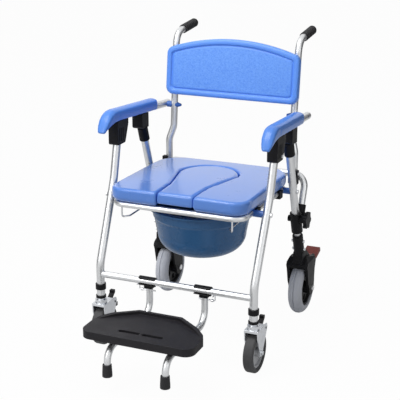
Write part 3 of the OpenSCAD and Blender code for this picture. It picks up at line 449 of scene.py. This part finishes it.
# Footplate: a black moulding, ribbed underneath, with a textured tread and two finger slots.
# It lies on the footrest's tubes and is screwed to them from below.
tread = finish_of("plate_tread", light=(0.020, 0.019, 0.022), dark=(0.014, 0.013, 0.016),
                  rough=(0.44, 0.58), grain_size=0.0016, depth=0.00014, marks=18.0,
                  gloss=0.2, edge=0.0016)
dress(tread, "footplate")


# Pail: a polypropylene bowl with a rolled rim. It hangs by the rim on the wire rails under the seat,
# and slides out to the rear.
pail_skin = finish_of("pail_skin", light=(0.036, 0.135, 0.315), dark=(0.030, 0.115, 0.275),
                      rough=(0.22, 0.32), grain_size=0.003, depth=0.00005, marks=9.0,
                      gloss=0.3, edge=0.0015)
dress(pail_skin, "pail")


# Screws: pan-head machine screws with hex sockets, instanced on their places: behind the posts into
# the board, under the seat clips, in the post brackets' sides, and up through the footrest tubes.
POST_D, POST_INSET = 0.022, 0.0175
LUG_MID, LUG_DROP = 0.0385, 0.011
CLIP_MID, CLIP_STEP = 0.013, 0.200
FOOT_TUBE_R = 0.010
BOARD_SCREWS, PLATE_SCREWS = (0.22, 0.66), (0.42, 0.80)

screw_tree = bpy.data.node_groups.new("pan_screws", "GeometryNodeTree")
sockets = screw_tree.interface
sockets.new_socket("Places", in_out="INPUT", socket_type="NodeSocketGeometry")
for label, size in (("Head Radius", 0.0046), ("Head Height", 0.0030), ("Socket Radius", 0.0022)):
    sockets.new_socket(label, in_out="INPUT", socket_type="NodeSocketFloat").default_value = size
finish_input = sockets.new_socket("Finish", in_out="INPUT", socket_type="NodeSocketMaterial").identifier
sockets.new_socket("Screws", in_out="OUTPUT", socket_type="NodeSocketGeometry")
add = screw_tree.nodes.new
given, made = add("NodeGroupInput"), add("NodeGroupOutput")
flatness, squash, lift = add("ShaderNodeMath"), add("ShaderNodeCombineXYZ"), add("ShaderNodeCombineXYZ")
dome, flat_dome = add("GeometryNodeMeshUVSphere"), add("GeometryNodeTransform")
prism, socket = add("GeometryNodeMeshCylinder"), add("GeometryNodeTransform")
cut, spots = add("GeometryNodeMeshBoolean"), add("GeometryNodeMeshToPoints")
facing, turn = add("GeometryNodeInputNamedAttribute"), add("FunctionNodeAlignRotationToVector")
place, real = add("GeometryNodeInstanceOnPoints"), add("GeometryNodeRealizeInstances")
paint = add("GeometryNodeSetMaterial")
flatness.operation = "DIVIDE"
squash.inputs["X"].default_value = squash.inputs["Y"].default_value = 1.0
dome.inputs["Segments"].default_value = 24
dome.inputs["Rings"].default_value = 12
prism.inputs["Vertices"].default_value = 6
cut.operation = "DIFFERENCE"
facing.data_type = "FLOAT_VECTOR"
facing.inputs["Name"].default_value = "facing"
turn.axis = "Z"
wire(screw_tree, (given.outputs["Head Height"], flatness.inputs[0]),
     (given.outputs["Head Radius"], flatness.inputs[1]), (flatness.outputs[0], squash.inputs["Z"]),
     (given.outputs["Head Radius"], dome.inputs["Radius"]),
     (dome.outputs["Mesh"], flat_dome.inputs["Geometry"]),
     (squash.outputs[0], flat_dome.inputs["Scale"]),
     (given.outputs["Socket Radius"], prism.inputs["Radius"]),
     (given.outputs["Head Height"], prism.inputs["Depth"]),
     (given.outputs["Head Height"], lift.inputs["Z"]),
     (prism.outputs["Mesh"], socket.inputs["Geometry"]),
     (lift.outputs[0], socket.inputs["Translation"]),
     (flat_dome.outputs[0], cut.inputs["Mesh 1"]), (socket.outputs[0], cut.inputs["Mesh 2"]),
     (given.outputs["Places"], spots.inputs["Mesh"]), (spots.outputs[0], place.inputs["Points"]),
     (cut.outputs["Mesh"], place.inputs["Instance"]),
     (facing.outputs["Attribute"], turn.inputs["Vector"]),
     (turn.outputs["Rotation"], place.inputs["Rotation"]),
     (place.outputs[0], real.inputs["Geometry"]), (real.outputs[0], paint.inputs["Geometry"]),
     (given.outputs["Finish"], paint.inputs["Material"]), (paint.outputs[0], made.inputs["Screws"]))


def drive_screws(name, body, places):
    """One mesh of screw heads on a body, each place with the way its head faces."""
    mesh = bpy.data.meshes.new(name + "_places")
    mesh.from_pydata([spot for spot, way in places], [], [])
    mesh.attributes.new("facing", "FLOAT_VECTOR", "POINT").data.foreach_set(
        "vector", [v for spot, way in places for v in way])
    holder = as_piece(name + "_places", mesh)
    heads = holder.modifiers.new("screws", "NODES")
    heads.node_group = screw_tree
    heads[finish_input] = zinc
    piece = as_piece(name, evaluated_mesh(holder))
    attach(piece, body)


down = (0, 0, -1)
post_side = board_half - POST_INSET
frame_places = [(board_at(x, tall * share, -POST_D), -board_out)
                for x in (-post_side, post_side) for share in BOARD_SCREWS]
low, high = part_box("frame_brackets")
frame_places += [((x * high[0], high[1] - LUG_MID, high[2] - LUG_DROP), (x, 0, 0)) for x in (-1, 1)]
frame_places += [((x * post_side, low[1] + CLIP_MID + step,
                   low[2] + (CLIP_STEP - step) * math.sin(SEAT_TILT)), down)
                 for x in (-1, 1) for step in (0, CLIP_STEP)]
drive_screws("frame_screws", "frame", frame_places)
tube_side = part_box("footrest_tubes")[1][0] - FOOT_TUBE_R
low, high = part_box("footplate")
drive_screws("plate_screws", "footrest",
             [((x * tube_side, low[1] + (high[1] - low[1]) * share, low[2] - FOOT_TUBE_R), down)
              for x in (-1, 1) for share in PLATE_SCREWS])
